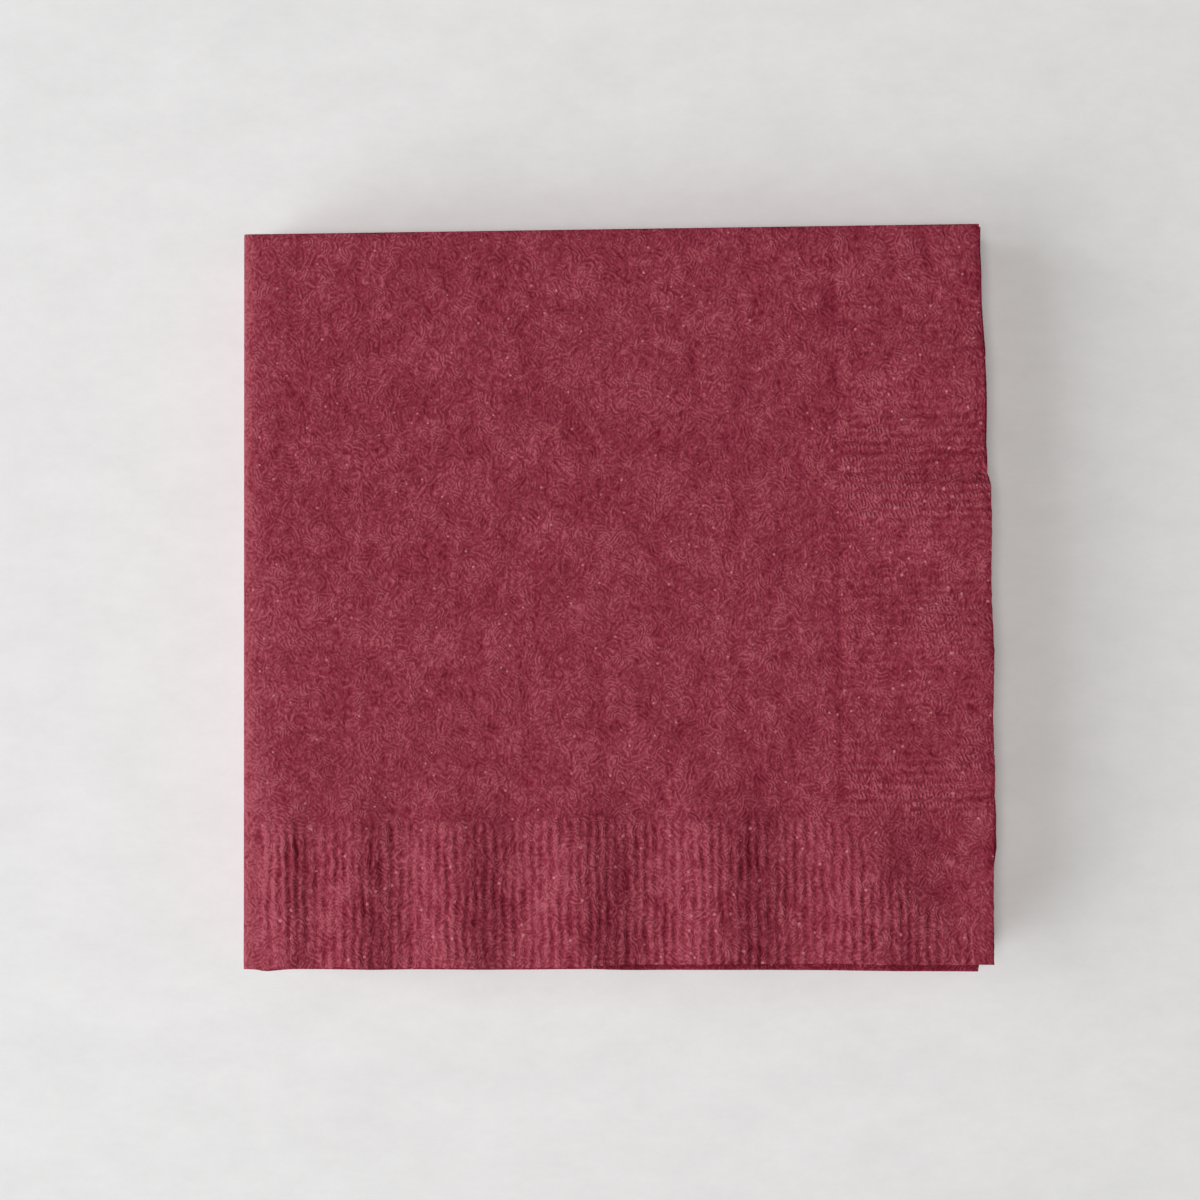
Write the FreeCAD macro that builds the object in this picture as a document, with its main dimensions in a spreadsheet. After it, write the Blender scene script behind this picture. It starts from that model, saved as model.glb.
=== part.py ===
import FreeCAD, Part
import Sketcher
import math
import os

# A stack of quarter-folded paper napkins, lying flat.
#
# Each napkin is one square sheet folded twice. The first fold lies along the back (+Y) and makes a
# pair of leaves; the second lies along the left (-X), turns that pair under itself and makes four.
# The cut edges are at the front (-Y) and the right (+X). The top napkin also shows the coin-edge
# border: fine ridges across a band along its two cut edges, lifted here and there in slow waves.
# Origin: centre of the stack's footprint on the table, +Z up. Lengths in mm, angles in degrees.

doc = FreeCAD.newDocument("napkin_stack")

# Driving sizes

SIZES = [
    ("panel_width", 127.4, "folded napkin, left fold to right cut edges"),
    ("panel_depth", 126.2, "folded napkin, front cut edges to back fold"),
    ("leaf_thickness", 0.20, "one leaf: two plies of embossed tissue"),
    ("leaf_gap", 0.05, "air between two leaves of one napkin"),
    ("crease_bevel", 0.08, "bevel of the pressed first fold"),
    ("napkin_count", 20, "napkins in the stack"),
    ("leaf_step", 0.45, "most that one cut edge stands back from its neighbour"),
    ("stack_shift", 0.20, "most that a napkin lies off the stack's centre, each way"),
    ("stack_turn", 0.15, "most that a napkin lies turned in the stack, in degrees"),
    ("coin_band", 25.4, "width of the ridged border"),
    ("coin_inset", 3.4, "plain strip between the ridges and a fold"),
    ("ridge_pitch", 1.6, "distance from ridge to ridge"),
    ("ridge_height", 0.20, "height of a ridge over the leaf"),
    ("front_lift", 2.6, "most that the front border lifts"),
    ("front_waves", 6.2, "slow waves along the front border"),
    ("front_spread", 0.68, "under 1 the front waves grow longer to the right"),
    ("right_lift", 2.0, "most that the right border lifts"),
    ("right_wave", 23.5, "length of a slow wave along the right border"),
    ("right_start", 7.6, "how much of the first of these waves lies before the border's start"),
]

sheet = doc.addObject("Spreadsheet::Sheet", "Sizes")
for row, (alias, value, meaning) in enumerate(SIZES, start=1):
    sheet.set(f"A{row}", alias)
    sheet.set(f"B{row}", str(value))
    sheet.set(f"C{row}", meaning)
    sheet.setAlias(f"B{row}", alias)
doc.recompute()


def size(alias):
    """Value of one driving size."""
    return float(getattr(sheet, alias))


def origin_plane(body, role):
    """The body's own base plane of that role."""
    return next(f for f in body.Origin.OriginFeatures if f.Role == role)


def add_sketch(body, name, role):
    """Empty sketch lying on one of the body's base planes."""
    sketch = body.newObject("Sketcher::SketchObject", name)
    sketch.AttachmentSupport = (origin_plane(body, role), "")
    sketch.MapMode = "FlatFace"
    return sketch


def draw_outline(sketch, points):
    """Closed run of lines through the points; level and upright lines are held so."""
    count = len(points)
    for i in range(count):
        start = FreeCAD.Vector(*points[i], 0)
        end = FreeCAD.Vector(*points[(i + 1) % count], 0)
        sketch.addGeometry(Part.LineSegment(start, end), False)
        if start.y == end.y:
            sketch.addConstraint(Sketcher.Constraint("Horizontal", i))
        if start.x == end.x:
            sketch.addConstraint(Sketcher.Constraint("Vertical", i))
    for i in range(count):
        sketch.addConstraint(Sketcher.Constraint("Coincident", i, 2, (i + 1) % count, 1))


def measure(sketch, kind, first, second, expression):
    """Distance along X or Y between two sketch points (line, end), bound to an expression."""
    points = [*first, *second]
    geometry = [sketch.getPoint(*first), sketch.getPoint(*second)]
    span = geometry[1] - geometry[0]
    value = span.x if kind == "DistanceX" else span.y
    index = sketch.addConstraint(Sketcher.Constraint(kind, *points, value))
    sketch.setExpression(f"Constraints[{index}]", expression)


CENTRE = (-1, 1)


# Section through the first fold

def draw_leaf_pair(body, name, side, outer_back, inner_back):
    """Two leaves joined by the first fold, seen along the second fold line.

    side is +1 for the pair above the second fold's axis and -1 for the pair under it;
    outer_back and inner_back are the shares of leaf_step by which the leaves' cut edges stand back.
    """
    leaf, gap, bevel = size("leaf_thickness"), size("leaf_gap"), size("crease_bevel")
    front, back = -size("panel_depth") / 2, size("panel_depth") / 2
    outer_end = front + size("leaf_step") * outer_back
    inner_end = front + size("leaf_step") * inner_back
    face = [gap / 2 + 2 * leaf + gap, gap / 2 + leaf + gap, gap / 2 + leaf, gap / 2]
    top, upper_slit, lower_slit, bottom = [side * z for z in face]
    sketch = add_sketch(body, name, "YZ_Plane")
    sketch.setExpression("AttachmentOffset.Base.z",
                         "-Sizes.panel_width / 2 + 2 * Sizes.leaf_thickness + 1.5 * Sizes.leaf_gap")
    draw_outline(sketch, [
        (outer_end, top),
        (back - bevel, top),
        (back, top - side * bevel),
        (back, bottom),
        (inner_end, bottom),
        (inner_end, lower_slit),
        (back - leaf, lower_slit),
        (back - leaf, upper_slit),
        (outer_end, upper_slit),
    ])
    sign = "" if side > 0 else "-"
    measure(sketch, "DistanceY", CENTRE, (0, 1), f"{sign}(2 * Sizes.leaf_thickness + 1.5 * Sizes.leaf_gap)")
    measure(sketch, "DistanceY", (7, 2), (0, 1), f"{sign}Sizes.leaf_thickness")
    measure(sketch, "DistanceY", (5, 2), (6, 2), f"{sign}Sizes.leaf_gap")
    measure(sketch, "DistanceY", (3, 2), (4, 2), f"{sign}Sizes.leaf_thickness")
    measure(sketch, "DistanceY", (1, 2), (1, 1), f"{sign}Sizes.crease_bevel")
    measure(sketch, "DistanceX", (1, 1), (1, 2), "Sizes.crease_bevel")
    measure(sketch, "DistanceX", CENTRE, (2, 1), "Sizes.panel_depth / 2")
    measure(sketch, "DistanceX", (6, 1), (2, 1), "Sizes.leaf_thickness")
    measure(sketch, "DistanceX", CENTRE, (0, 1),
            f"-Sizes.panel_depth / 2 + Sizes.leaf_step * {outer_back:.3f}")
    measure(sketch, "DistanceX", CENTRE, (4, 1),
            f"-Sizes.panel_depth / 2 + Sizes.leaf_step * {inner_back:.3f}")
    return sketch


# One napkin, folded in quarters

def add_run(body, name, sketch, back_share):
    """Straight run of a leaf pair from the second fold to the right-hand cut edges."""
    run = body.newObject("PartDesign::Pad", name)
    run.Profile = sketch
    run.Refine = True
    run.setExpression("Length", "Sizes.panel_width - 2 * Sizes.leaf_thickness"
                      f" - 1.5 * Sizes.leaf_gap - Sizes.leaf_step * {back_share:.3f}")
    return run


def add_folded_napkin(name, outer_back, inner_back, upper_back, lower_back):
    """Body of one napkin: upper leaf pair, second fold turned through half a circle, lower pair."""
    body = doc.addObject("PartDesign::Body", name)
    upper = draw_leaf_pair(body, f"{name}_upper_pair", 1, outer_back, inner_back)
    add_run(body, f"{name}_upper_run", upper, upper_back)
    fold = body.newObject("PartDesign::Revolution", f"{name}_second_fold")
    fold.Profile = upper
    fold.ReferenceAxis = (upper, ["H_Axis"])
    fold.Angle = 180
    fold.Reversed = True
    fold.Refine = True
    lower = draw_leaf_pair(body, f"{name}_lower_pair", -1, outer_back, inner_back)
    add_run(body, f"{name}_lower_run", lower, lower_back)
    return body


def spread(index, step):
    """Even, unordered spread of shares from -1 to 1 over the stack."""
    return 2 * math.modf(0.5 + index * step)[0] - 1


def lay_in_stack(body, index):
    """Places a napkin on the ones under it, a little off centre and a little turned."""
    thickness = "(4 * Sizes.leaf_thickness + 3 * Sizes.leaf_gap)"
    body.setExpression("Placement.Base.x", f"Sizes.stack_shift * {spread(index, 0.618):.3f}")
    body.setExpression("Placement.Base.y", f"Sizes.stack_shift * {spread(index, 0.382):.3f}")
    body.setExpression("Placement.Base.z", f"{thickness} * {index + 0.5}")
    body.setExpression("Placement.Rotation.Angle", f"Sizes.stack_turn * {spread(index, 0.755):.3f}")


# Coin-edge border of the top napkin

def clear_border(body, name):
    """Takes the flat border off the top leaf, an L along its two cut edges, for the ridged one."""
    sketch = add_sketch(body, f"{name}_border_outline", "XY_Plane")
    sketch.setExpression("AttachmentOffset.Base.z", "2 * Sizes.leaf_thickness + 1.5 * Sizes.leaf_gap")
    half_width, half_depth = size("panel_width") / 2, size("panel_depth") / 2
    band, inset, spare = size("coin_band"), size("coin_inset"), size("coin_band") / 10
    draw_outline(sketch, [
        (inset - half_width, -half_depth - spare),
        (half_width + spare, -half_depth - spare),
        (half_width + spare, half_depth - inset),
        (half_width - band, half_depth - inset),
        (half_width - band, band - half_depth),
        (inset - half_width, band - half_depth),
    ])
    measure(sketch, "DistanceX", CENTRE, (0, 1), "Sizes.coin_inset - Sizes.panel_width / 2")
    measure(sketch, "DistanceY", CENTRE, (0, 1), "-Sizes.panel_depth / 2 - Sizes.coin_band / 10")
    measure(sketch, "DistanceX", CENTRE, (1, 1), "Sizes.panel_width / 2 + Sizes.coin_band / 10")
    measure(sketch, "DistanceY", CENTRE, (2, 1), "Sizes.panel_depth / 2 - Sizes.coin_inset")
    measure(sketch, "DistanceX", CENTRE, (3, 1), "Sizes.panel_width / 2 - Sizes.coin_band")
    measure(sketch, "DistanceY", CENTRE, (4, 1), "Sizes.coin_band - Sizes.panel_depth / 2")
    pocket = body.newObject("PartDesign::Pocket", f"{name}_border_cut")
    pocket.Profile = sketch
    pocket.setExpression("Length", "Sizes.leaf_thickness")


def front_wave(along, length):
    """Lift of the front border: cosine waves that grow longer to the right and, mid-way, higher."""
    share = along / length
    wave = (1 - math.cos(2 * math.pi * size("front_waves") * share ** size("front_spread"))) / 2
    return size("front_lift") * wave * (0.4 + 0.6 * math.sin(math.pi * share))


def ease(share):
    """Smooth step: 0 below 0, 1 above 1."""
    share = min(max(share, 0.0), 1.0)
    return share * share * (3 - 2 * share)


def right_wave(along, length):
    """Lift of the right border: even cosine waves that die out at both ends."""
    pitch = size("right_wave")
    wave = (1 - math.cos(2 * math.pi * (along + size("right_start")) / pitch)) / 2
    return size("right_lift") * wave * ease(3 * along / pitch) * ease(2 * (length - along) / pitch)


def ridged_profile(length, lift):
    """Closed outline of a ridged strip, as (distance along, height over the leaf's underside).

    Over the lifted leaf the top runs valley, crest, valley at half the ridge pitch.
    """
    pitch, leaf, ridge = size("ridge_pitch"), size("leaf_thickness"), size("ridge_height")
    ridges = math.floor(length / pitch)
    top = [(i * pitch / 2, leaf + ridge * (i % 2)) for i in range(2 * ridges + 1)]
    underside = [(i * pitch, 0.0) for i in range(ridges + 1)]
    if length - ridges * pitch > pitch / 10:
        top.append((length, leaf))
        underside.append((length, 0.0))
    return [(along, height + lift(along, length)) for along, height in top + underside[::-1]]


def flat(along, length):
    """No lift."""
    return 0.0


def ridged_strip(length, lift, place_inner, place_outer):
    """Solid strip ruled from a ridged but flat inner profile to the ridged and waved cut edge."""
    wires = []
    for profile, place in ((ridged_profile(length, flat), place_inner),
                           (ridged_profile(length, lift), place_outer)):
        points = [place(along, height) for along, height in profile]
        wires.append(Part.makePolygon(points + points[:1]))
    return Part.makeLoft(wires, True, True)


def add_border(body, name, outer_back, upper_back):
    """The ridged border's two strips, front and right, in the napkin's own place."""
    half_width, half_depth = size("panel_width") / 2, size("panel_depth") / 2
    band, inset = size("coin_band"), size("coin_inset")
    floor = size("leaf_thickness") + 1.5 * size("leaf_gap")
    left, right = inset - half_width, half_width - size("leaf_step") * upper_back
    front, back = size("leaf_step") * outer_back - half_depth, half_depth - inset
    inner_x, inner_y = half_width - band, band - half_depth
    strips = {
        "front": ridged_strip(right - left, front_wave,
                              lambda along, height: FreeCAD.Vector(left + along, inner_y, floor + height),
                              lambda along, height: FreeCAD.Vector(left + along, front, floor + height)),
        "right": ridged_strip(back - inner_y, right_wave,
                              lambda along, height: FreeCAD.Vector(inner_x, inner_y + along, floor + height),
                              lambda along, height: FreeCAD.Vector(right, inner_y + along, floor + height)),
    }
    features = []
    for side, shape in strips.items():
        strip = doc.addObject("Part::Feature", f"{name}_{side}_border")
        strip.Shape = shape
        strip.setExpression("Placement", f"{body.Name}.Placement")
        features.append(strip)
    return features


# The stack, from the table up

count = round(size("napkin_count"))
napkins = []
for index in range(count):
    name = f"napkin_{index + 1:02d}"
    step = spread(index + 1, 0.445)
    slip = spread(index + 1, 0.291)
    backs = [max(step, 0), max(-step, 0), max(slip, 0), max(-slip, 0)]
    if index < count - 1:
        body = add_folded_napkin(name, *backs)
        lay_in_stack(body, index)
        napkins.append(body)
        continue
    body = add_folded_napkin(f"{name}_folds", *backs)
    clear_border(body, name)
    lay_in_stack(body, index)
    doc.recompute()
    top_napkin = doc.addObject("Part::MultiFuse", name)
    top_napkin.Shapes = [body] + add_border(body, name, backs[0], backs[2])
    top_napkin.Refine = False
    napkins.append(top_napkin)
doc.recompute()

# Check and export

os.makedirs("parts", exist_ok=True)
for item in doc.Objects:
    if "Invalid" in item.State or "Error" in item.State:
        raise RuntimeError(f"{item.Name} did not build: {item.State}")
for node in napkins:
    if node.Shape.isNull() or not node.Shape.isValid() or len(node.Shape.Solids) != 1:
        raise RuntimeError(f"{node.Label} is not one sound solid")
    node.Shape.exportStep(f"parts/{node.Label}.step")
print("napkins", len(napkins), "volume", sum(n.Shape.Volume for n in napkins))
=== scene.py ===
import math

import bpy
import numpy as np
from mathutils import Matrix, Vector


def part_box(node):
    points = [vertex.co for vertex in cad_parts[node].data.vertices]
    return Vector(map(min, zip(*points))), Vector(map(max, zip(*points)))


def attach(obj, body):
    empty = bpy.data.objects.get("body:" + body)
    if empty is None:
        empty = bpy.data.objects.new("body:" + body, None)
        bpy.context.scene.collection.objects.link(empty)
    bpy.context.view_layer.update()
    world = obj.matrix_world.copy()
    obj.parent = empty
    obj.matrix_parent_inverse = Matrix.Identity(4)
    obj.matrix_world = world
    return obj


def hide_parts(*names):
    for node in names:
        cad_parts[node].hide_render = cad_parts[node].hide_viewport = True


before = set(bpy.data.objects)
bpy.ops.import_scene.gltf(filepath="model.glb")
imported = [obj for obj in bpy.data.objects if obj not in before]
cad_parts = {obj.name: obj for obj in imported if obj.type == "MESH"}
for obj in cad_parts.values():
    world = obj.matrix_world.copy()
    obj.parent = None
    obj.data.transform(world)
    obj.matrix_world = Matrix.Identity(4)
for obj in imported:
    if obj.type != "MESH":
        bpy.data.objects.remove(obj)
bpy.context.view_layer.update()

# The lower napkins: nineteen sheets of two-ply tissue, each folded in half twice and laid on the last.
# Every mesh is the folded sheet itself, a thin closed skin swept round the two folds.
# First fold at the back (+Y), second at the left (-X), cut edges at the front and right.

# Shapes are worked out in mm. FLAT_SHEET and the material's sizes are in metres.
MM = 0.001
NAMES = sorted(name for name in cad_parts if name.startswith("napkin_"))
LEAF = 0.20
LEAF_GAP = 0.05
NAPKIN_THICKNESS = 4 * LEAF + 3 * LEAF_GAP
STACK_HEIGHT = NAPKIN_THICKNESS * len(NAMES)
lowest, highest = (np.array(corner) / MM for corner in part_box(NAMES[0]))
HALF_WIDTH, HALF_DEPTH = (highest - lowest)[:2] / 2
PAIR_RADIUS = LEAF + LEAF_GAP / 2
PAIR_AXIS = LEAF + LEAF_GAP
FOLD_X = PAIR_AXIS + PAIR_RADIUS - HALF_WIDTH
FOLD_Y = HALF_DEPTH - PAIR_RADIUS
FIRST_BENDS, SECOND_BENDS = 5, 8
ROW_STEPS, COLUMN_STEPS = 29, 31
CUT_ANGLE = math.radians(50)

# How unevenly the sheets are folded and laid, and the steps that spread it over the stack.
LEAF_STEP, FRONT_STEP, SIDE_STEP = 0.45, 0.445, 0.291
STACK_SHIFT, ACROSS_STEP, ALONG_STEP = 0.20, 0.618, 0.382
STACK_TURN, TURN_STEP = math.radians(0.15), 0.755
CORNER_SKEW = np.array([[(-0.7, -0.3), (0.6, 0.2)], [(-0.4, -0.9), (-1.8, 0.7)]])
WANDER_LENGTHS, WANDER_SHARES, WANDER = (9.0, 17.0, 38.0, 90.0), (0.10, 0.16, 0.30, 0.44), 0.25

# The coin-edge band's width, its distance from the folds, and the slow waves along the cut edges.
BAND, INSET = 25.4, 3.4
FRONT_LIFT, FRONT_WAVES, FRONT_SPREAD = 2.6, 6.2, 0.68
FRONT_REACH, FRONT_FADE, FRONT_START = 36.0, 0.83 * BAND, 12.0
RIGHT_LIFT, RIGHT_WAVE, RIGHT_START, RIGHT_REACH = 2.0, 23.5, 7.6, 1.2 * BAND
HANDED_DOWN = 1.3
DRAWN_IN = 0.13

# The dye, and the shares of the material's parts in its tone and in its relief.
TISSUE_TONES = {0.0: (0.150, 0.0080, 0.021), 0.5: (0.267, 0.0330, 0.058), 1.0: (0.430, 0.096, 0.130)}
MOTTLE_STRETCH = (1.25, 0.8, 1.0)
MOTTLE_SCALES = {"broad": 40.0, "middling": 170.0, "small": 420.0, "fine": 1100.0, "grain": 2600.0}
# In the tone, the strokes' crisp pale lines are painted highlights and the dark lines in their hollows are
# painted shade.
TONE_SHARES = {"strokes": 0.10, "lines": 0.32, "painted_hollow_shade": -0.14, "grain": 0.9, "fine": 0.7, "small": 0.6,
               "middling": 0.28, "broad": 0.05, "dashes": 0.17, "painted_crest_highlights": 1.0}
RELIEF_SHARES = {"strokes": 0.65, "dashes": 1.0, "middling": 2.6, "small": 3.0}
RELIEF_DEPTH = 0.00008
BEND_SCALE, BEND = 500.0, 0.0009
WIDE_STROKES, NARROW_STROKES = (470.0, 0.00068, 0.005), (690.0, 0.00050, 0.0033)
NARROW_FROM, NARROW_TO = -0.12, 0.12
CRISP_FROM, CRISP_TO = -0.10, 0.12
# In the tone, each band's crests are painted highlights on the ridges and its dashes paint light and shade on
# them.
BAND_SHARES = {"front_ridges": (0.4, 0.20), "right_ridges": (1.0, 0.12)}
DASH_SLANT = 14.0
# The specks are painted glints: pale dots put into the dye's colour.
PAINTED_GLINT_TONE, SPECK_SHARE = (0.66, 0.25, 0.28), 0.6
SPECK_SCALE, SPECK_REACH, SPECK_GAIN, SPECK_LEAST = 400.0, 0.085, 0.025, 0.15
PAPER_ROUGHNESS, PAPER_GLOSS = 0.9, 0.1


def spread(index, step):
    """Even, unordered share from -1 to 1: twice the fraction of 0.5 + index * step, less 1."""
    return 2 * math.modf(0.5 + index * step)[0] - 1


def ripples(x, y, length, seed):
    """Smooth noise of about -1 to 1: the sum of nine sine waves, each in its own direction and 0.6
    to 1.5 times as long as the length, over 4.5."""
    rng = np.random.default_rng(seed)
    total = np.zeros(np.broadcast(x, y).shape)
    for turn, phase, share in rng.uniform(0, 1, (9, 3)):
        wave = 2 * math.pi / (length * (0.6 + 0.9 * share))
        along = x * math.cos(2 * math.pi * turn) + y * math.sin(2 * math.pi * turn)
        total += np.sin(wave * along + 2 * math.pi * phase)
    return total / 4.5


def ease(t):
    """Smooth step: 0 below 0, 1 above 1, 3t^2 - 2t^3 between."""
    t = np.clip(t, 0, 1)
    return t * t * (3 - 2 * t)


def slow_waves(x, y):
    """Lift of the borders in mm: cosine waves along each cut edge, times a ramp that grows from
    nothing inside the sheet to the whole towards the edge. The front waves lengthen to the right,
    are highest in the middle and start softly at the fold."""
    from_left, from_front = x + HALF_WIDTH, y + HALF_DEPTH
    front = np.clip(from_left - INSET, 0, None) / (2 * HALF_WIDTH - INSET)
    front_wave = (1 - np.cos(2 * math.pi * FRONT_WAVES * front ** FRONT_SPREAD)) / 2
    front_wave *= FRONT_LIFT * (0.4 + 0.6 * np.sin(math.pi * np.clip(front, 0, 1)))
    front_wave *= ease(from_left / FRONT_START)
    right = from_front - BAND
    right_wave = (1 - np.cos(2 * math.pi * (right + RIGHT_START) / RIGHT_WAVE)) / 2
    right_wave *= RIGHT_LIFT * ease(3 * right / RIGHT_WAVE)
    right_wave *= ease(2 * (HALF_DEPTH - INSET - y) / RIGHT_WAVE)
    front_ramp = ease((FRONT_REACH - from_front) / FRONT_FADE)
    right_ramp = ease(1 - (HALF_WIDTH - x) / RIGHT_REACH)
    return front_wave * front_ramp + right_wave * right_ramp


def leaf_pair(rows, outer_back, inner_back, bends):
    """Profile of two leaves and the first fold as (y, height over the pair's middle), twice.

    The outer skin runs along one leaf at the pair's radius, round a half circle and back; the
    inner skin does the same at the slit's half height. Both have the same number of points.
    """
    turn = np.linspace(0, math.pi, bends + 1)[1:-1]
    outer_y = -HALF_DEPTH + outer_back + rows * (FOLD_Y + HALF_DEPTH - outer_back)
    inner_y = -HALF_DEPTH + inner_back + rows[::-1] * (FOLD_Y + HALF_DEPTH - inner_back)
    skins = []
    for radius in (PAIR_RADIUS, LEAF_GAP / 2):
        y = np.concatenate([outer_y, FOLD_Y + radius * np.sin(turn), inner_y])
        height = np.concatenate([outer_y * 0 + radius, radius * np.cos(turn), inner_y * 0 - radius])
        skins.append((y, height))
    return skins


def sweep_round_fold(columns, upper_back, lower_back, bends, skins):
    """The folded sheet's points [path, skin * profile], and which leaf each is on: 0 and 1 above,
    2 and 3 below, counted from the profile's outer leaf.

    Each profile point is carried along the upper run, half a circle round the second fold's axis
    at its own height, and back along the lower run.
    """
    turn = np.linspace(0, math.pi, bends + 1)[1:-1]
    upper_x = FOLD_X + columns[::-1] * (HALF_WIDTH - upper_back - FOLD_X)
    lower_x = FOLD_X + columns * (HALF_WIDTH - lower_back - FOLD_X)
    run_x = np.concatenate([upper_x, turn * 0 + FOLD_X, lower_x])
    angle = np.concatenate([upper_x * 0, turn, lower_x * 0 + math.pi])
    (outer_y, outer_height), (inner_y, inner_height) = skins
    y = np.concatenate([outer_y, inner_y[::-1]])
    radius = PAIR_AXIS + np.concatenate([outer_height, inner_height[::-1]])
    points = np.stack([
        run_x[:, None] - radius * np.sin(angle)[:, None],
        np.broadcast_to(y, (len(run_x), len(y))),
        radius * np.cos(angle)[:, None],
    ], axis=-1)
    inner = np.arange(len(outer_y)) >= len(outer_y) // 2
    below = angle / math.pi > 0.5
    return points, 2 * below[:, None] + np.concatenate([inner, inner[::-1]])[None, :]


def edge_wander(points, leaf, seed, amount):
    """Draws the cut edges back in their plane by four sine waves of each leaf's own phases, times
    the square of the way from the fold, and not at all beside the other fold."""
    phases = np.random.default_rng(seed).uniform(0, 2 * math.pi, (2, 4, 4))
    x, y = points[..., 0].copy(), points[..., 1].copy()
    away_x, away_y = (x - FOLD_X) / (2 * HALF_WIDTH), (FOLD_Y - y) / (2 * HALF_DEPTH)
    fade_x, fade_y = ease(away_x * 12), ease(away_y * 12)
    for n, (length, share) in enumerate(zip(WANDER_LENGTHS, WANDER_SHARES)):
        back_y = amount * share * (1 + np.sin(2 * math.pi * x / length + phases[0, leaf, n]))
        back_x = amount * share * (1 + np.sin(2 * math.pi * y / length + phases[1, leaf, n]))
        points[..., 1] += back_y * fade_x * away_y ** 2
        points[..., 0] -= back_x * fade_y * away_x ** 2


def lay_in_stack(points, index):
    """Turns and shifts the napkin a little, lifts it onto the ones below, skews it with the stack
    by blending four corner shifts, and raises it by its share of the slow waves. Where a wave lifts
    the front edge, the edge is drawn back by a small share of the lift."""
    turn = STACK_TURN * spread(index, TURN_STEP)
    across, along = points[..., 0], points[..., 1]
    x = across * math.cos(turn) - along * math.sin(turn) + STACK_SHIFT * spread(index, ACROSS_STEP)
    y = across * math.sin(turn) + along * math.cos(turn) + STACK_SHIFT * spread(index, ALONG_STEP)
    z = points[..., 2] + NAPKIN_THICKNESS * (index + 0.5)
    to_right, to_back = (x / HALF_WIDTH + 1)[..., None] / 2, (y / HALF_DEPTH + 1)[..., None] / 2
    front, back = ((1 - to_right) * left + to_right * right for left, right in CORNER_SKEW)
    shift = (1 - to_back) * front + to_back * back
    lift = slow_waves(x, y) * np.clip(z / STACK_HEIGHT, 0, 1) ** HANDED_DOWN
    drawn_in = DRAWN_IN * lift * np.clip(-y / HALF_DEPTH, 0, 1)
    return np.stack([x + shift[..., 0], y + shift[..., 1] + drawn_in, z + lift], axis=-1)


def grid_faces(ids):
    """Quads of a grid of vertex numbers, anticlockwise when rows run left to right and upwards."""
    return np.stack([ids[:-1, :-1], ids[:-1, 1:], ids[1:, 1:], ids[1:, :-1]], axis=-1).reshape(-1, 4)


def swept_faces(ids):
    """Quads of the swept closed profile, whose columns are the outer skin and then the inner one
    backwards, and of the leaves' cut ends at the path's start and end."""
    sides = grid_faces(np.concatenate([ids, ids[:, :1]], axis=1))
    half = ids.shape[1] // 2
    first = grid_faces(np.stack([ids[0, :half - 1:-1], ids[0, :half]]))
    last = grid_faces(np.stack([ids[-1, :half], ids[-1, :half - 1:-1]]))
    return sides, first, last


def add_mesh(name, points, polygons, marks=None):
    """Smooth-shaded object with sharp cut edges. polygons is a list of face arrays; marks are named
    values, one number or three a vertex, for the material to read."""
    mesh = bpy.data.meshes.new(name)
    faces = [face for block in polygons for face in block.tolist()]
    mesh.from_pydata((points.reshape(-1, 3) * MM).tolist(), [], faces)
    mesh.polygons.foreach_set("use_smooth", np.ones(len(mesh.polygons), dtype=bool))
    mesh.set_sharp_from_angle(angle=CUT_ANGLE)
    for mark, values in (marks or {}).items():
        kind, field = ("FLOAT", "value") if values.ndim == 1 else ("FLOAT_VECTOR", "vector")
        mesh.attributes.new(mark, kind, "POINT").data.foreach_set(field, values.ravel())
    mesh.update()
    obj = bpy.data.objects.new(name, mesh)
    bpy.context.scene.collection.objects.link(obj)
    return obj


def add_node(tree, kind, inputs=None, **settings):
    """Shader node with its settings; an input is a constant or another node's output socket."""
    node = tree.nodes.new(kind)
    for key, value in settings.items():
        setattr(node, key, value)
    for key, value in (inputs or {}).items():
        if isinstance(value, bpy.types.NodeSocket):
            tree.links.new(value, node.inputs[key])
        else:
            node.inputs[key].default_value = value
    return node


def combine(tree, operation, first, second=0.0):
    """Result socket of a Math node on one or two values."""
    return add_node(tree, "ShaderNodeMath", {0: first, 1: second}, operation=operation).outputs[0]


def add_share(tree, total, part, share):
    """The total plus the part times its share."""
    return combine(tree, "ADD", total, combine(tree, "MULTIPLY", part, share))


def ramp_between(tree, value, low, high):
    """Share that grows straight from 0 at low to 1 at high."""
    return add_node(tree, "ShaderNodeMapRange", {"Value": value, 1: low, 2: high}).outputs[0]


def peaks(tree, value):
    """The value's part above 0, to the power 3."""
    return combine(tree, "POWER", combine(tree, "MAXIMUM", value, 0.0), 3.0)


def dye_mottles(tree, place):
    """Noises of five sizes by name, each drawn out a little along Y and centred on 0."""
    drawn = add_node(tree, "ShaderNodeVectorMath", {0: place, 1: MOTTLE_STRETCH}, operation="MULTIPLY")
    mottles = {}
    for name, scale in MOTTLE_SCALES.items():
        noise = add_node(tree, "ShaderNodeTexNoise",
                         {"Vector": drawn.outputs[0], "Scale": scale, "Detail": 1.0})
        mottles[name] = combine(tree, "SUBTRACT", noise.outputs[0], 0.5)
    return mottles


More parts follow.
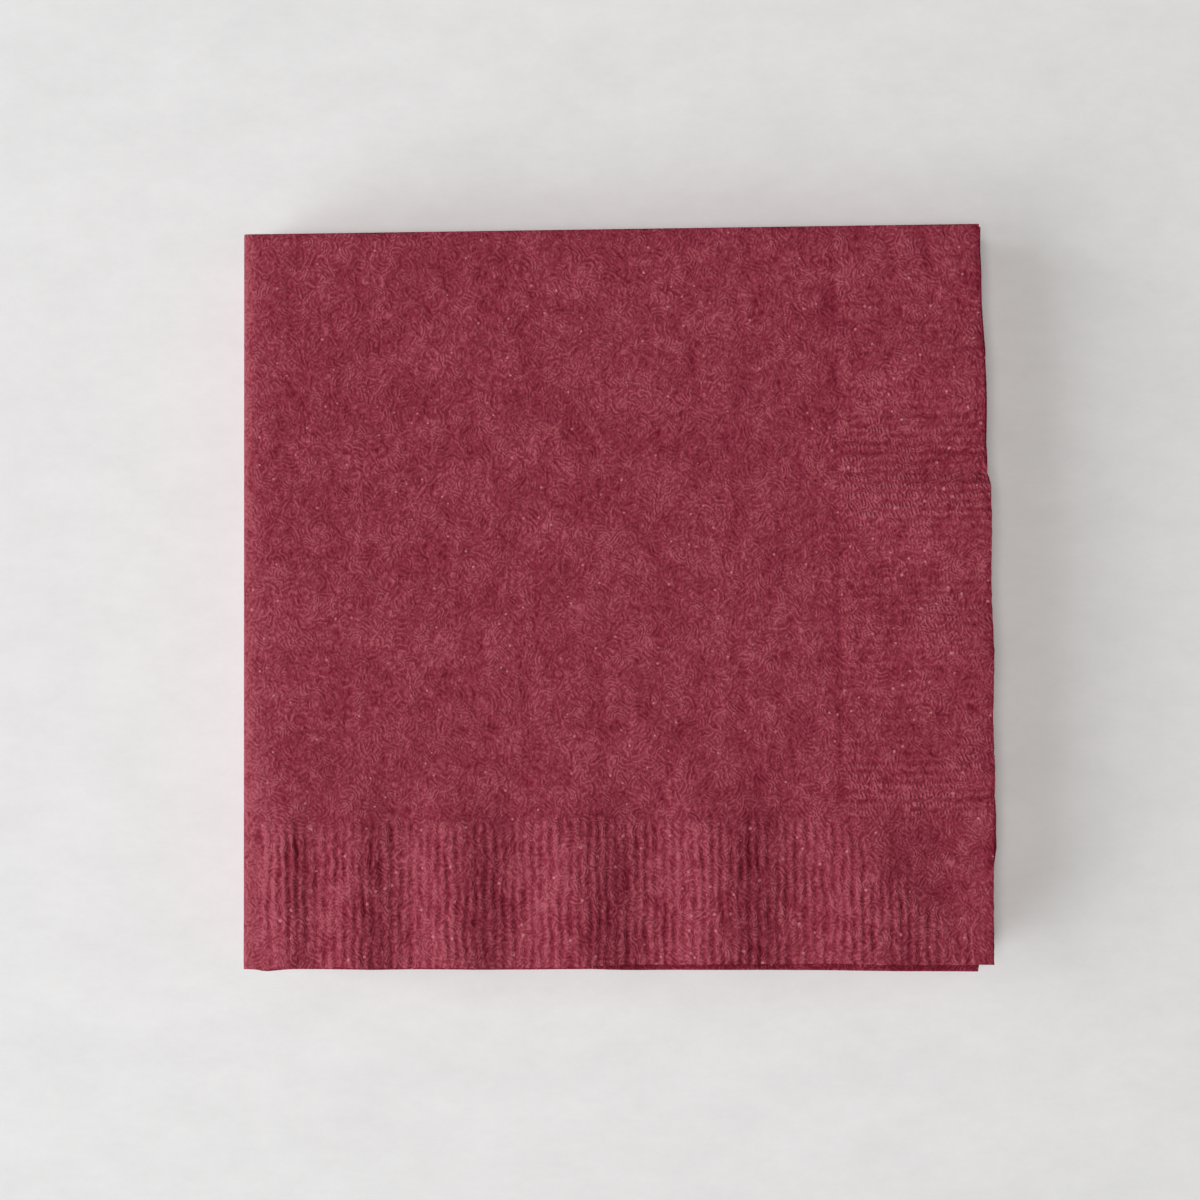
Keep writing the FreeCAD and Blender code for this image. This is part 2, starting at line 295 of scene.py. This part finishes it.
def curled_strokes(tree, place, cell_scale, pitch, curl):
    """Patches of short parallel strokes, each patch curled its own way: the sine of the turns, one a
    pitch, that lie between a place and a random point beside the centre of its Voronoi cell."""
    cells = add_node(tree, "ShaderNodeTexVoronoi", {"Vector": place, "Scale": cell_scale})
    aside = add_node(tree, "ShaderNodeVectorMath", {0: cells.outputs["Color"], 1: (0.5, 0.5, 0.5)},
                     operation="SUBTRACT")
    aside = add_node(tree, "ShaderNodeVectorMath", {0: aside.outputs[0], "Scale": curl}, operation="SCALE")
    centre = add_node(tree, "ShaderNodeVectorMath", {0: cells.outputs["Position"], 1: aside.outputs[0]})
    away = add_node(tree, "ShaderNodeVectorMath", {0: place, 1: centre.outputs[0]}, operation="DISTANCE")
    turns = combine(tree, "MULTIPLY", away.outputs["Value"], 2 * math.pi / pitch)
    return combine(tree, "SINE", turns)


def matted_fibres(tree, place, mottle):
    """Strokes of -1 to 1 for the matted fibres: wide ones, giving way to narrow ones as the mottle
    grows, on a place that a noise bends by less than a millimetre."""
    warp = add_node(tree, "ShaderNodeTexNoise", {"Vector": place, "Scale": BEND_SCALE, "Detail": 1.0})
    bend = add_node(tree, "ShaderNodeVectorMath", {0: warp.outputs["Color"], "Scale": BEND},
                    operation="SCALE")
    bent = add_node(tree, "ShaderNodeVectorMath", {0: place, 1: bend.outputs[0]}).outputs[0]
    wide, narrow = (curled_strokes(tree, bent, *sizes) for sizes in (WIDE_STROKES, NARROW_STROKES))
    share = ramp_between(tree, mottle, NARROW_FROM, NARROW_TO)
    return add_node(tree, "ShaderNodeMix", {0: share, 2: wide, 3: narrow}).outputs[0]


def ridged_bands(tree, mottle, crisp):
    """What the two coin-edge bands add, from their marks of ridge turns, dash turns and strength.

    A crest is half of 1 less the ridge turns' cosine, times the strength; in the tone it is a painted
    highlight on the ridges. The dashes on it are the sine of the dash turns, which the mottle slants;
    in the tone they paint light and shade on the crests. The specks, painted glints, reach further
    where a band is strong.
    """
    dashes, painted_crest_highlights, reach = 0.0, 0.0, SPECK_REACH
    for band, (dash_share, crest_share) in BAND_SHARES.items():
        marks = add_node(tree, "ShaderNodeAttribute", attribute_name=band).outputs["Vector"]
        ridge_turn, dash_turn, strength = add_node(tree, "ShaderNodeSeparateXYZ", {0: marks}).outputs
        crest = combine(tree, "SUBTRACT", 1.0, combine(tree, "COSINE", ridge_turn))
        crest = combine(tree, "MULTIPLY", combine(tree, "MULTIPLY", crest, 0.5), strength)
        dash = combine(tree, "SINE", add_share(tree, dash_turn, mottle, DASH_SLANT))
        dash = combine(tree, "MULTIPLY", dash, combine(tree, "MULTIPLY", crest, crisp))
        dashes = add_share(tree, dashes, dash, dash_share)
        painted_crest_highlights = add_share(tree, painted_crest_highlights, crest, crest_share)
        reach = add_share(tree, reach, strength, SPECK_GAIN)
    return dashes, painted_crest_highlights, reach


def painted_glints(tree, place, reach):
    """Share of the painted glints' tone: pale dots of the given reach at the centres of the Voronoi
    cells, but for the cells whose random number is low."""
    cells = add_node(tree, "ShaderNodeTexVoronoi", {"Vector": place, "Scale": SPECK_SCALE})
    chosen = add_node(tree, "ShaderNodeSeparateColor", {"Color": cells.outputs["Color"]}).outputs[0]
    dots = combine(tree, "LESS_THAN", cells.outputs["Distance"], reach)
    dots = combine(tree, "MULTIPLY", dots, combine(tree, "GREATER_THAN", chosen, SPECK_LEAST))
    return combine(tree, "MULTIPLY", dots, SPECK_SHARE)


def tissue_material():
    """Matt burgundy tissue. Its tone is 0.5 less an attribute that holds the paper's pressing with
    painted shade and painted highlights, plus the shares of the mottles, the strokes, their crisp pale
    lines (painted highlights) and dark ones (painted shade in their hollows), and the ridged bands'
    dashes (painted light and shade) and ridge tops (painted highlights). A ramp turns the tone into
    the dye's colour, and painted glints show as pale specks. The relief is a sum of other shares of
    the same parts."""
    material = bpy.data.materials.new("tissue")
    material.use_nodes = True
    tree = material.node_tree
    place = add_node(tree, "ShaderNodeTexCoord").outputs["Object"]
    parts = dye_mottles(tree, place)
    strokes = matted_fibres(tree, place, parts["small"])
    crisp = ramp_between(tree, parts["middling"], CRISP_FROM, CRISP_TO)
    dull = combine(tree, "SUBTRACT", 1.0, crisp)
    hollows = combine(tree, "MULTIPLY", strokes, -1.0)
    dashes, painted_crest_highlights, reach = ridged_bands(tree, parts["small"], crisp)
    # The crisp pale lines are painted highlights on the strokes, the dark ones painted shade in their hollows.
    parts.update({
        "strokes": strokes,
        "lines": combine(tree, "MULTIPLY", peaks(tree, strokes), crisp),
        "painted_hollow_shade": combine(tree, "MULTIPLY", peaks(tree, hollows), dull),
        "dashes": dashes,
        "painted_crest_highlights": painted_crest_highlights,
    })
    # This attribute holds the top napkin's pressing of the paper together with painted shade and painted
    # highlights.
    pressed_and_painted_light = add_node(tree, "ShaderNodeAttribute", attribute_name="pressed_and_painted_light").outputs["Fac"]
    tone, relief = combine(tree, "SUBTRACT", 0.5, pressed_and_painted_light), 0.0
    for name, share in TONE_SHARES.items():
        tone = add_share(tree, tone, parts[name], share)
    for name, share in RELIEF_SHARES.items():
        relief = add_share(tree, relief, parts[name], share)
    ramp = add_node(tree, "ShaderNodeValToRGB", {"Fac": tone})
    ramp.color_ramp.elements.new(0.5)
    for element, (at, colour) in zip(ramp.color_ramp.elements, TISSUE_TONES.items()):
        element.position, element.color = at, (*colour, 1)
    specks = painted_glints(tree, place, reach)
    dyed = add_node(tree, "ShaderNodeMix", {0: specks, 6: ramp.outputs[0], 7: (*PAINTED_GLINT_TONE, 1)},
                    data_type="RGBA").outputs[2]
    bump = add_node(tree, "ShaderNodeBump", {"Height": relief, "Strength": 1.0, "Distance": RELIEF_DEPTH})
    shader = tree.nodes["Principled BSDF"]
    tree.links.new(dyed, shader.inputs["Base Color"])
    tree.links.new(bump.outputs[0], shader.inputs["Normal"])
    shader.inputs["Roughness"].default_value = PAPER_ROUGHNESS
    shader.inputs["Specular IOR Level"].default_value = PAPER_GLOSS
    return material


def finish_napkin(obj, index):
    """Gives the napkin its paper and tells the frame what it stands for and rests on."""
    obj.data.materials.append(tissue)
    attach(obj, "root")
    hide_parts(NAMES[index])


def edge_backs(index):
    """How far in mm each cut edge stands back: outer and inner leaf at the front, upper and lower
    pair at the right."""
    step, slip = spread(index + 1, FRONT_STEP), spread(index + 1, SIDE_STEP)
    return [LEAF_STEP * max(share, 0) for share in (step, -step, slip, -slip)]


def rows_to_fold(steps):
    """Shares of the way from the front edge to the first fold: two rows close to the edge, and
    even steps from a twentieth of the way on."""
    return np.concatenate([[0.0, 0.003, 0.02], np.linspace(0.05, 1, steps)])


def columns_to_edge(steps):
    """Shares of the way from the second fold to the right edge: even steps to the power that gives
    each slow wave at the front as many of them."""
    return np.linspace(0, 1, steps) ** (1 / FRONT_SPREAD)


tissue = tissue_material()
rows, columns = rows_to_fold(ROW_STEPS), columns_to_edge(COLUMN_STEPS)
for index, node in enumerate(NAMES[:-1]):
    outer_back, inner_back, upper_back, lower_back = edge_backs(index)
    skins = leaf_pair(rows, outer_back, inner_back, FIRST_BENDS)
    points, leaf = sweep_round_fold(columns, upper_back, lower_back, SECOND_BENDS, skins)
    edge_wander(points, leaf, index, WANDER)
    ids = np.arange(leaf.size).reshape(leaf.shape)
    obj = add_mesh(node + "_paper", lay_in_stack(points, index), swept_faces(ids))
    finish_napkin(obj, index)

# The top napkin: the same folded sheet, with the coin-edge border pressed into its top leaf.
# Its top is three grids, fine across the ridges and coarse along them, sewn to each other and to
# the rest of the swept sheet by strips of triangles.

TOP = len(NAMES) - 1
TOP_FIRST_BENDS, TOP_SECOND_BENDS = 8, 10
TOP_ROW_STEPS, TOP_COLUMN_STEPS = 46, 55
TOP_WANDER = 0.08
SEAM = 0.2
FRONT_COLUMNS, RIGHT_ROWS, BAND_STEPS, MIDDLE_STEPS = 530, 400, 38, 110
RIDGE_PITCH, RIDGE_DEPTH, RIGHT_SHARE = 1.6, 0.30, 0.5
SLOW_LENGTH, SLOW_WANDER, QUICK_LENGTH, QUICK_WANDER = 9.0, 0.30, 3.0, 0.2
MEAN_KEPT, LEAST_KEPT, MOST_KEPT = 0.66, 0.05, 1.6
FRONT_DASH, RIGHT_DASH, DASH_STEP = 0.9, 0.62, 0.5
EDGE_LIFT = 0.25
PUFF, PUFF_REACH = 0.32, 1.4
PUCKER_Y, PUCKER_DEPTH = 21.3, 0.55
LEVEL_Y, UPRIGHT_X, CREASE_DEPTH = 14.6, 38.6, 0.05

# How much darker or paler each of these makes the paper, and how far in mm the last ones reach.
# The grooves are darker partly for pressed paper and partly as painted shade; the darkening under
# the top leaf, on the waves' lee sides, in the pucker and at the cut and fold rims is painted shade,
# and the paler left fold is a painted highlight.
GROOVE_PRESSED_AND_SHADE, UNDER_PAINTED_SHADE, LEE_PAINTED_SHADE, PUCKER_PAINTED_SHADE, BORDER_DARK = 0.16, 0.40, 0.30, 0.12, 0.22
FOLD_HIGHLIGHT_PALE, PATCH_PALE, PATCH_X, PATCH_Y, PATCH_REACH = 0.38, 0.045, -33.0, -40.0, 28.0
CUT_PAINTED_SHADE, CUT_REACH, FOLD_PAINTED_SHADE, FOLD_REACH = 0.24, 0.5, 0.06, 1.2

# Tables of (place along an edge, value) in mm: how far the right and front edges of the top leaf
# stand from a straight line, how far the second leaf stands from the top one's right edge and from
# a straight front edge, and how strong the right band's ridges are.
RIGHT_OUTLINE = np.array([(-63, 0.0), (-35, 0.5), (-17, 0.8), (0, 0.85), (18.9, 1.0),
                          (20.9, 0.4), (34, 0.3), (60, -0.05), (63, 0.0)])
FRONT_OUTLINE = np.array([(-63, -0.4), (-60, -0.5), (-56, -0.18), (-50, -0.18), (-42, -0.36), (-34, -0.28),
                          (-24, -0.48), (-6, -0.38), (0, -0.06), (35, -0.03), (45, -0.24), (63, -0.32)])
UNDER_RIGHT = np.array([(-63, -2.7), (-58, -1.6), (-50, -0.6), (-44, 0.5), (-36, 0.5), (-34, -0.3),
                        (-18, 0.2), (18, -0.4), (22, 0.3), (59, 0.3), (63, 0.0)])
UNDER_FRONT = np.array([(-63, -0.45), (-5, -0.55), (0, -1.0), (63, -1.45)])
RIGHT_STRENGTH = np.array([(-63, 0.7), (-40, 0.8), (-33, 1.4), (-22, 0.4), (-8, 0.8), (0, 0.9),
                           (8, 0.5), (14, 1.4), (28, 1.4), (36, 0.35), (50, 0.6), (63, 0.3)])

outer_back, inner_back, upper_back, lower_back = edge_backs(TOP)
edge_x, edge_y = HALF_WIDTH - upper_back, outer_back - HALF_DEPTH
band_x, band_y = edge_x - BAND, edge_y + BAND


def read(table, at):
    """Values of a table, on straight lines between its places."""
    return np.interp(at, *table.T)


def line(distance, width):
    """1 on a line and less beside it: e to the minus square of the distance over the width."""
    return np.exp(-(distance / width) ** 2)


def fade(distance, reach):
    """1 up to a line and less beyond it: e to the minus distance over the reach."""
    return np.exp(-np.clip(distance, 0, None) / reach)


def sew(a, a_at, b, b_at):
    """Triangles between two rows of vertices, b left of a as both run on. Each triangle takes the
    next vertex of the row that is behind, by its place along the seam."""
    steps = np.concatenate([a_at[1:], b_at[1:]])
    on_a = (np.arange(len(steps)) < len(a) - 1)[np.argsort(steps, kind="stable")]
    i, j = np.cumsum(on_a) - on_a, np.cumsum(~on_a) - (~on_a)
    next_i, next_j = np.minimum(i + 1, len(a) - 1), np.minimum(j + 1, len(b) - 1)
    third = np.where(on_a, a[next_i], b[next_j])
    return np.stack([a[i], third, b[j]], axis=-1)


def band_strengths(x, y):
    """How strong the ridges of the front and of the right band are: eased in over a few mm from the
    band's inner side and from its ends, with the front band stronger near the fold but for its
    corner, and the right band by its table."""
    from_left, from_front, from_right = x + HALF_WIDTH, y + HALF_DEPTH, HALF_WIDTH - x
    corner = ease((from_right - from_front) / 12 + 0.4)
    front = ease((BAND - from_front) / 1.5) * ease((from_left - INSET + 1) / 1.4) * corner
    front *= 1 + 0.5 * ease((13 - from_left) / 5)
    front *= 1 - 0.75 * ease((16 - from_left) / 6) * ease((8 - from_front) / 4)
    right = ease((BAND - from_right) / 1.5) * ease((HALF_DEPTH - INSET - y) / 2)
    right *= ease((from_front - BAND + 2) / 3) * read(RIGHT_STRENGTH, y)
    return front, right


def coin_edge(x, y):
    """Height of the coin-edge ridges over the top leaf as a share of the ridge depth, how deep each
    place lies in a groove, and each band's marks: turns across its ridges, turns along the short
    dashes on them, and the band's strength.

    Across a band there is a groove once every pitch, a raised cosine to the power 1.5. The grooves
    wander by a slow and a quick noise, and two more noises say how much of their depth they keep.
    The dashes of each next ridge start half a turn further on.
    """
    height, depth, marks = np.zeros_like(x), np.zeros_like(x), []
    front, right = band_strengths(x, y)
    for across, along, amount, dash, strength, seed in (
            (x, y, 1.0, FRONT_DASH, front, 31), (y, x, RIGHT_SHARE, RIGHT_DASH, right, 32)):
        slow = SLOW_WANDER * ripples(across, along, SLOW_LENGTH, seed)
        quick = QUICK_WANDER * ripples(across, along, QUICK_LENGTH, seed + 5)
        place = across + slow + quick
        groove = ((1 + np.cos(2 * math.pi * place / RIDGE_PITCH)) / 2) ** 1.5
        patches = 0.7 * ripples(across * 1.6, along * 0.8, 9.0, seed + 9)
        flecks = 0.5 * ripples(across, along, 2.4, seed)
        kept = np.clip(MEAN_KEPT + patches + flecks, LEAST_KEPT, MOST_KEPT)
        depth += amount * strength * kept * groove
        height += amount * strength * (1 - kept * groove)
        turns = [place / RIDGE_PITCH, along / dash + DASH_STEP * across / RIDGE_PITCH]
        marks.append(np.column_stack([2 * math.pi * np.stack(turns, axis=-1), strength]))
    return height, depth, marks


def creases(x, y):
    """Slight relief of the top leaf in mm: a pucker at the right edge, a faint level crease across
    the middle, the line along the right band's inner side, and a soft unevenness all over. Each
    crease is a hollow line, eased out at its ends."""
    pucker = PUCKER_DEPTH * line(y - PUCKER_Y + 0.05 * (HALF_WIDTH - x), 1.3) * ease((x - 44) / 17)
    level = line(y - LEVEL_Y - 0.6 * np.sin(x / 9), 0.5) * ease((x + 41) / 8) * ease((14 - x) / 8)
    upright = line(x - UPRIGHT_X, 0.35) * ease((44 - y) / 6) * ease((y + 35) / 6)
    uneven = 0.035 * ripples(x, y, 7.0, 51) + 0.02 * ripples(x, y, 3.4, 52)
    return uneven - pucker - CREASE_DEPTH * (level + upright)


def bulge(x, y):
    """How far the top leaf stands off the one below, 0 to 1: 1 less the fade from the nearest fold
    or edge, for X times Y. A cut edge counts as 0.5 mm away."""
    in_x = np.minimum(x - FOLD_X, edge_x - x + 0.5)
    in_y = np.minimum(FOLD_Y - y, y - edge_y + 0.5)
    return (1 - fade(in_x, PUFF_REACH)) * (1 - fade(in_y, PUFF_REACH))


def top_grid(x, y):
    """Points of a level grid on the top leaf: every column of x at every row of y."""
    return np.stack([*np.meshgrid(x, y), np.full((len(y), len(x)), PAIR_AXIS + PAIR_RADIUS)], axis=-1)


# The three grids, and the whole sheet swept as the lower napkins are.
inwards = np.concatenate([[0.0, 0.15], np.linspace(0.5, BAND, BAND_STEPS)])
front_band = top_grid(np.linspace(FOLD_X, edge_x, FRONT_COLUMNS), edge_y + inwards)
right_band = top_grid(edge_x - inwards[::-1], np.linspace(band_y + SEAM, FOLD_Y, RIGHT_ROWS))
from_folds = np.linspace(0, 1, MIDDLE_STEPS) ** 1.5
middle = top_grid(FOLD_X + from_folds * (band_x - SEAM - FOLD_X),
                  FOLD_Y - from_folds[::-1] * (FOLD_Y - band_y - SEAM))
rest_rows, rest_columns = rows_to_fold(TOP_ROW_STEPS), columns_to_edge(TOP_COLUMN_STEPS)
skins = leaf_pair(rest_rows, outer_back, inner_back, TOP_FIRST_BENDS)
rest, rest_leaf = sweep_round_fold(rest_columns, upper_back, lower_back, TOP_SECOND_BENDS, skins)

blocks = [rest, front_band, right_band, middle]
starts = np.cumsum([0] + [block.shape[0] * block.shape[1] for block in blocks])
rest_ids, front_ids, right_ids, middle_ids = (
    np.arange(start, end).reshape(block.shape[:2])
    for start, end, block in zip(starts, starts[1:], blocks))
flat_points = np.concatenate([block.reshape(-1, 3) for block in blocks])
at_x, at_y = flat_points[:, 0], flat_points[:, 1]

# The swept sheet leaves its top open up to the folds, and the grids are sewn in along the rows and
# columns that border the opening.
profile = len(skins[0][0])
outer_skin, inner_skin = rest_ids[:, :profile], rest_ids[:, :profile - 1:-1]
turn_row, turn_column = len(rest_rows) - 1, len(rest_columns) - 1
open_ids = rest_ids[:turn_column + 1, :turn_row + 1]
sides, first_end, last_end = swept_faces(rest_ids)
front_row, left_column = front_ids[0], np.concatenate([front_ids[:, 0], middle_ids[:, 0]])
right_column = np.concatenate([front_ids[:, -1], right_ids[:, -1]])
back_row = np.concatenate([middle_ids[-1], right_ids[-1]])
inner_row = np.concatenate([middle_ids[0], right_ids[0]])
turned_row = outer_skin[turn_column::-1, turn_row + 1]
turned_column = outer_skin[turn_column + 1, :turn_row + 1]
under_row, under_column = inner_skin[turn_column::-1, 0], inner_skin[0, :turn_row + 1]


def sew_along(a, b, at):
    """Strip between two rows of vertices, by their place along X or Y."""
    return sew(a, at[a], b, at[b])


faces = [
    sides[~np.isin(sides, open_ids).any(axis=1)],
    first_end[~np.isin(first_end, open_ids).any(axis=1)],
    last_end,
    grid_faces(front_ids), grid_faces(right_ids), grid_faces(middle_ids),
    sew_along(right_ids[:, 0], middle_ids[:, -1], at_y),
    sew_along(front_ids[-1], inner_row, at_x),
    sew_along(back_row, turned_row, at_x),
    sew_along(left_column, turned_column, at_y),
    sew_along(under_column, right_column, at_y),
    sew_along(under_row, front_row, at_x),
    # The three corners where two strips meet: back left, back right and front left.
    np.array([
        [outer_skin[turn_column + 1, turn_row], middle_ids[-1, 0],
         outer_skin[turn_column, turn_row + 1], outer_skin[turn_column + 1, turn_row + 1]],
        [inner_skin[0, turn_row], inner_skin[0, turn_row + 1], outer_skin[0, turn_row + 1], right_ids[-1, -1]],
        [inner_skin[turn_column, 0], front_ids[0, 0],
         outer_skin[turn_column + 1, 0], inner_skin[turn_column + 1, 0]],
    ]),
]

# The cut edges of the top leaf and of the second leaf under it, moved by the square of the way
# across a band.
leaf = np.concatenate([rest_leaf.ravel(), np.zeros(len(flat_points) - rest_leaf.size, dtype=int)])
top_leaf, second_leaf, on_top = leaf == 0, leaf == 1, np.arange(len(leaf)) >= starts[1]
points = flat_points.copy()
edge_wander(points, leaf, TOP, TOP_WANDER)
over_right = np.clip((at_x - band_x) / BAND, 0, 1) ** 2 * ease((FOLD_Y - at_y) / 4)
over_front = np.clip((band_y - at_y) / BAND, 0, 1) ** 2
off_fold = over_front * ease((at_x - FOLD_X) / 4)
outline = read(RIGHT_OUTLINE, at_y) + 0.07 * ripples(at_y, at_x * 0, 2.2, 63)
teeth = 0.07 * ripples(at_x, at_y * 0, 2.6, 61) + 0.05 * ripples(at_x, at_y * 0, 1.2, 62)
points[:, 0] += over_right * (outline + second_leaf * read(UNDER_RIGHT, at_y))
points[:, 1] += over_front * read(FRONT_OUTLINE, at_x)
points[:, 1] += off_fold * np.where(second_leaf, read(UNDER_FRONT, at_x), teeth)

# The top leaf's relief.
ridge, groove, bands = coin_edge(at_x, at_y)
for values in (ridge, groove, bands[0][:, 2], bands[1][:, 2]):
    values *= on_top
points[:, 2] += creases(at_x, at_y) * on_top * ease((at_x - FOLD_X) / 2) * ease((FOLD_Y - at_y) / 2)
points[:, 2] += top_leaf * (EDGE_LIFT * (off_fold + over_right) + PUFF * bulge(at_x, at_y))
points[:, 2] += RIDGE_DEPTH * ridge

# How much darker the paper's tone is made. In the grooves it is partly pressed paper and partly
# painted shade. Painted shade lies under the top leaf, on the side of the waves that slopes down to
# the right, in the pucker and at the right and back rims, and a darker line runs along the border's
# inner side. A painted highlight makes the left fold paler, and a broad patch at the front left is
# paler too.
# Painted shade on the second leaf where it lies under the top leaf's edges.
painted_under_shade = second_leaf * ease(np.minimum(at_y + HALF_DEPTH - inner_back, edge_x - at_x + 1) / 0.4)
# Painted shade on the side of the slow waves that slopes down to the right, away from the window.
slope = slow_waves(at_x - 0.5, at_y) - slow_waves(at_x + 0.5, at_y)
painted_lee_shade = np.maximum(slope, 0.2 * slope)
# Painted shade in the pucker near the right edge.
pucker = line(at_y - PUCKER_Y - 0.5, 3.5) * ease((at_x - 46) / 12)
border = (abs(at_x - band_x) < 0.25) * (at_y > band_y) + 0.4 * (abs(at_y - band_y) < 0.25) * (at_x < band_x)
border = border * np.clip(0.7 + 0.7 * ripples(at_x, at_y, 5.0, 71), 0, 1)
# Painted shade along the top leaf's right cut edge and along its back fold.
painted_rim_shade = CUT_PAINTED_SHADE * fade(edge_x - at_x, CUT_REACH) + FOLD_PAINTED_SHADE * fade(FOLD_Y - at_y, FOLD_REACH)
# Painted highlight along the left fold, on the side that faces the window.
painted_fold_highlight = top_leaf * fade(at_x - FOLD_X, 1.9 - at_y / 60)
patch = line(np.hypot(at_x - PATCH_X, at_y - PATCH_Y), PATCH_REACH)
# The grooves are darker partly for pressed paper and partly as painted shade.
pressed_and_painted_light = GROOVE_PRESSED_AND_SHADE * groove + UNDER_PAINTED_SHADE * painted_under_shade - FOLD_HIGHLIGHT_PALE * painted_fold_highlight
pressed_and_painted_light += on_top * (LEE_PAINTED_SHADE * painted_lee_shade + PUCKER_PAINTED_SHADE * pucker + BORDER_DARK * border + painted_rim_shade - PATCH_PALE * patch)

used = np.zeros(len(points), dtype=bool)
for group in faces:
    used[group.ravel()] = True
renumber = np.cumsum(used) - 1
marks = {"pressed_and_painted_light": pressed_and_painted_light[used], "front_ridges": bands[0][used], "right_ridges": bands[1][used]}
top_napkin = add_mesh(NAMES[TOP] + "_paper", lay_in_stack(points, TOP)[used],
                      [renumber[group] for group in faces], marks)
finish_napkin(top_napkin, TOP)

# The table: a pale, smooth plaster-like ground that takes the shadow.
# It is one level plane just under the stack, larger than the view, with faint brushed stains.

TABLE_SIDE, TABLE_DROP = 4000.0, 0.02
TABLE_WHITE = (0.835, 0.838, 0.853)
STAIN_NOISE = {"Scale": 90.0, "Detail": 6.0, "Roughness": 0.8}
STAIN_STRETCH, STAIN = (0.6, 1.0, 1.0), 0.21
TABLE_ROUGHNESS, TABLE_GLOSS = 0.9, 0.2

corners = np.array([(-1, -1), (1, -1), (1, 1), (-1, 1)]) * TABLE_SIDE / 2
table = add_mesh("table", np.column_stack([corners, np.full(4, -TABLE_DROP)]), [np.array([[0, 1, 2, 3]])])
plaster = bpy.data.materials.new("plaster")
plaster.use_nodes = True
tree = plaster.node_tree
place = add_node(tree, "ShaderNodeTexCoord").outputs["Object"]
brushed = add_node(tree, "ShaderNodeVectorMath", {0: place, 1: STAIN_STRETCH}, operation="MULTIPLY")
stain = add_node(tree, "ShaderNodeTexNoise", {"Vector": brushed.outputs[0], **STAIN_NOISE}).outputs[0]
tone = add_share(tree, 1.0, combine(tree, "SUBTRACT", stain, 0.5), STAIN)
colour = add_node(tree, "ShaderNodeVectorMath", {0: TABLE_WHITE, 1: tone}, operation="MULTIPLY")
shader = tree.nodes["Principled BSDF"]
tree.links.new(colour.outputs[0], shader.inputs["Base Color"])
shader.inputs["Roughness"].default_value = TABLE_ROUGHNESS
shader.inputs["Specular IOR Level"].default_value = TABLE_GLOSS
table.data.materials.append(plaster)

# The light: a broad soft window low on the left and a little to the front, and a lamp overhead.
# The window makes the soft shadow to the right and back; the lamp lights both sides of the stack.

LIGHT_TURN = math.radians(195)
WINDOW_HEIGHT, WINDOW_DISTANCE, WINDOW_SIDE, WINDOW_POWER = math.radians(30), 1.5, 1.6, 20.8
WINDOW_TINT = (0.965, 0.985, 1.0)
LAMP_HEIGHT, LAMP_DISTANCE, LAMP_SIDE, LAMP_POWER = math.radians(86), 1.6, 0.4, 13.3
LAMP_TINT = (1.0, 0.965, 0.92)
ROOM_LIGHT = 0.062


def add_area(name, height, distance, side, power, tint):
    """Square lamp that faces the stack from the light's side, from a height in radians over the
    table and at a distance in metres."""
    data = bpy.data.lights.new(name, "AREA")
    data.size = side
    data.energy = power
    data.color = tint
    lamp = bpy.data.objects.new(name, data)
    level = distance * math.cos(height)
    lamp.location = (level * math.cos(LIGHT_TURN), level * math.sin(LIGHT_TURN), distance * math.sin(height))
    lamp.rotation_euler = (math.pi / 2 - height, 0, LIGHT_TURN + math.pi / 2)
    bpy.context.scene.collection.objects.link(lamp)


add_area("window", WINDOW_HEIGHT, WINDOW_DISTANCE, WINDOW_SIDE, WINDOW_POWER, WINDOW_TINT)
add_area("lamp", LAMP_HEIGHT, LAMP_DISTANCE, LAMP_SIDE, LAMP_POWER, LAMP_TINT)
world = bpy.data.worlds.new("room")
world.use_nodes = True
world.node_tree.nodes["Background"].inputs["Color"].default_value = (1, 1, 1, 1)
world.node_tree.nodes["Background"].inputs["Strength"].default_value = ROOM_LIGHT
bpy.context.scene.world = world
bpy.context.scene.view_settings.view_transform = "Standard"

# The camera: straight above the stack, as in the photograph, with a long lens.
# It stands where the top of the stack fills the frame as it does there.

VIEW_WIDTH = 205.7
VIEW_CENTRE = (-3.26, -0.51)
LENS, SENSOR = 85.0, 36.0

camera_data = bpy.data.cameras.new("camera")
camera_data.lens = LENS
camera_data.sensor_width = SENSOR
camera_data.clip_start = 0.01
camera = bpy.data.objects.new("camera", camera_data)
camera.location = (VIEW_CENTRE[0] * MM, VIEW_CENTRE[1] * MM, (STACK_HEIGHT + VIEW_WIDTH * LENS / SENSOR) * MM)
bpy.context.scene.collection.objects.link(camera)
bpy.context.scene.camera = camera
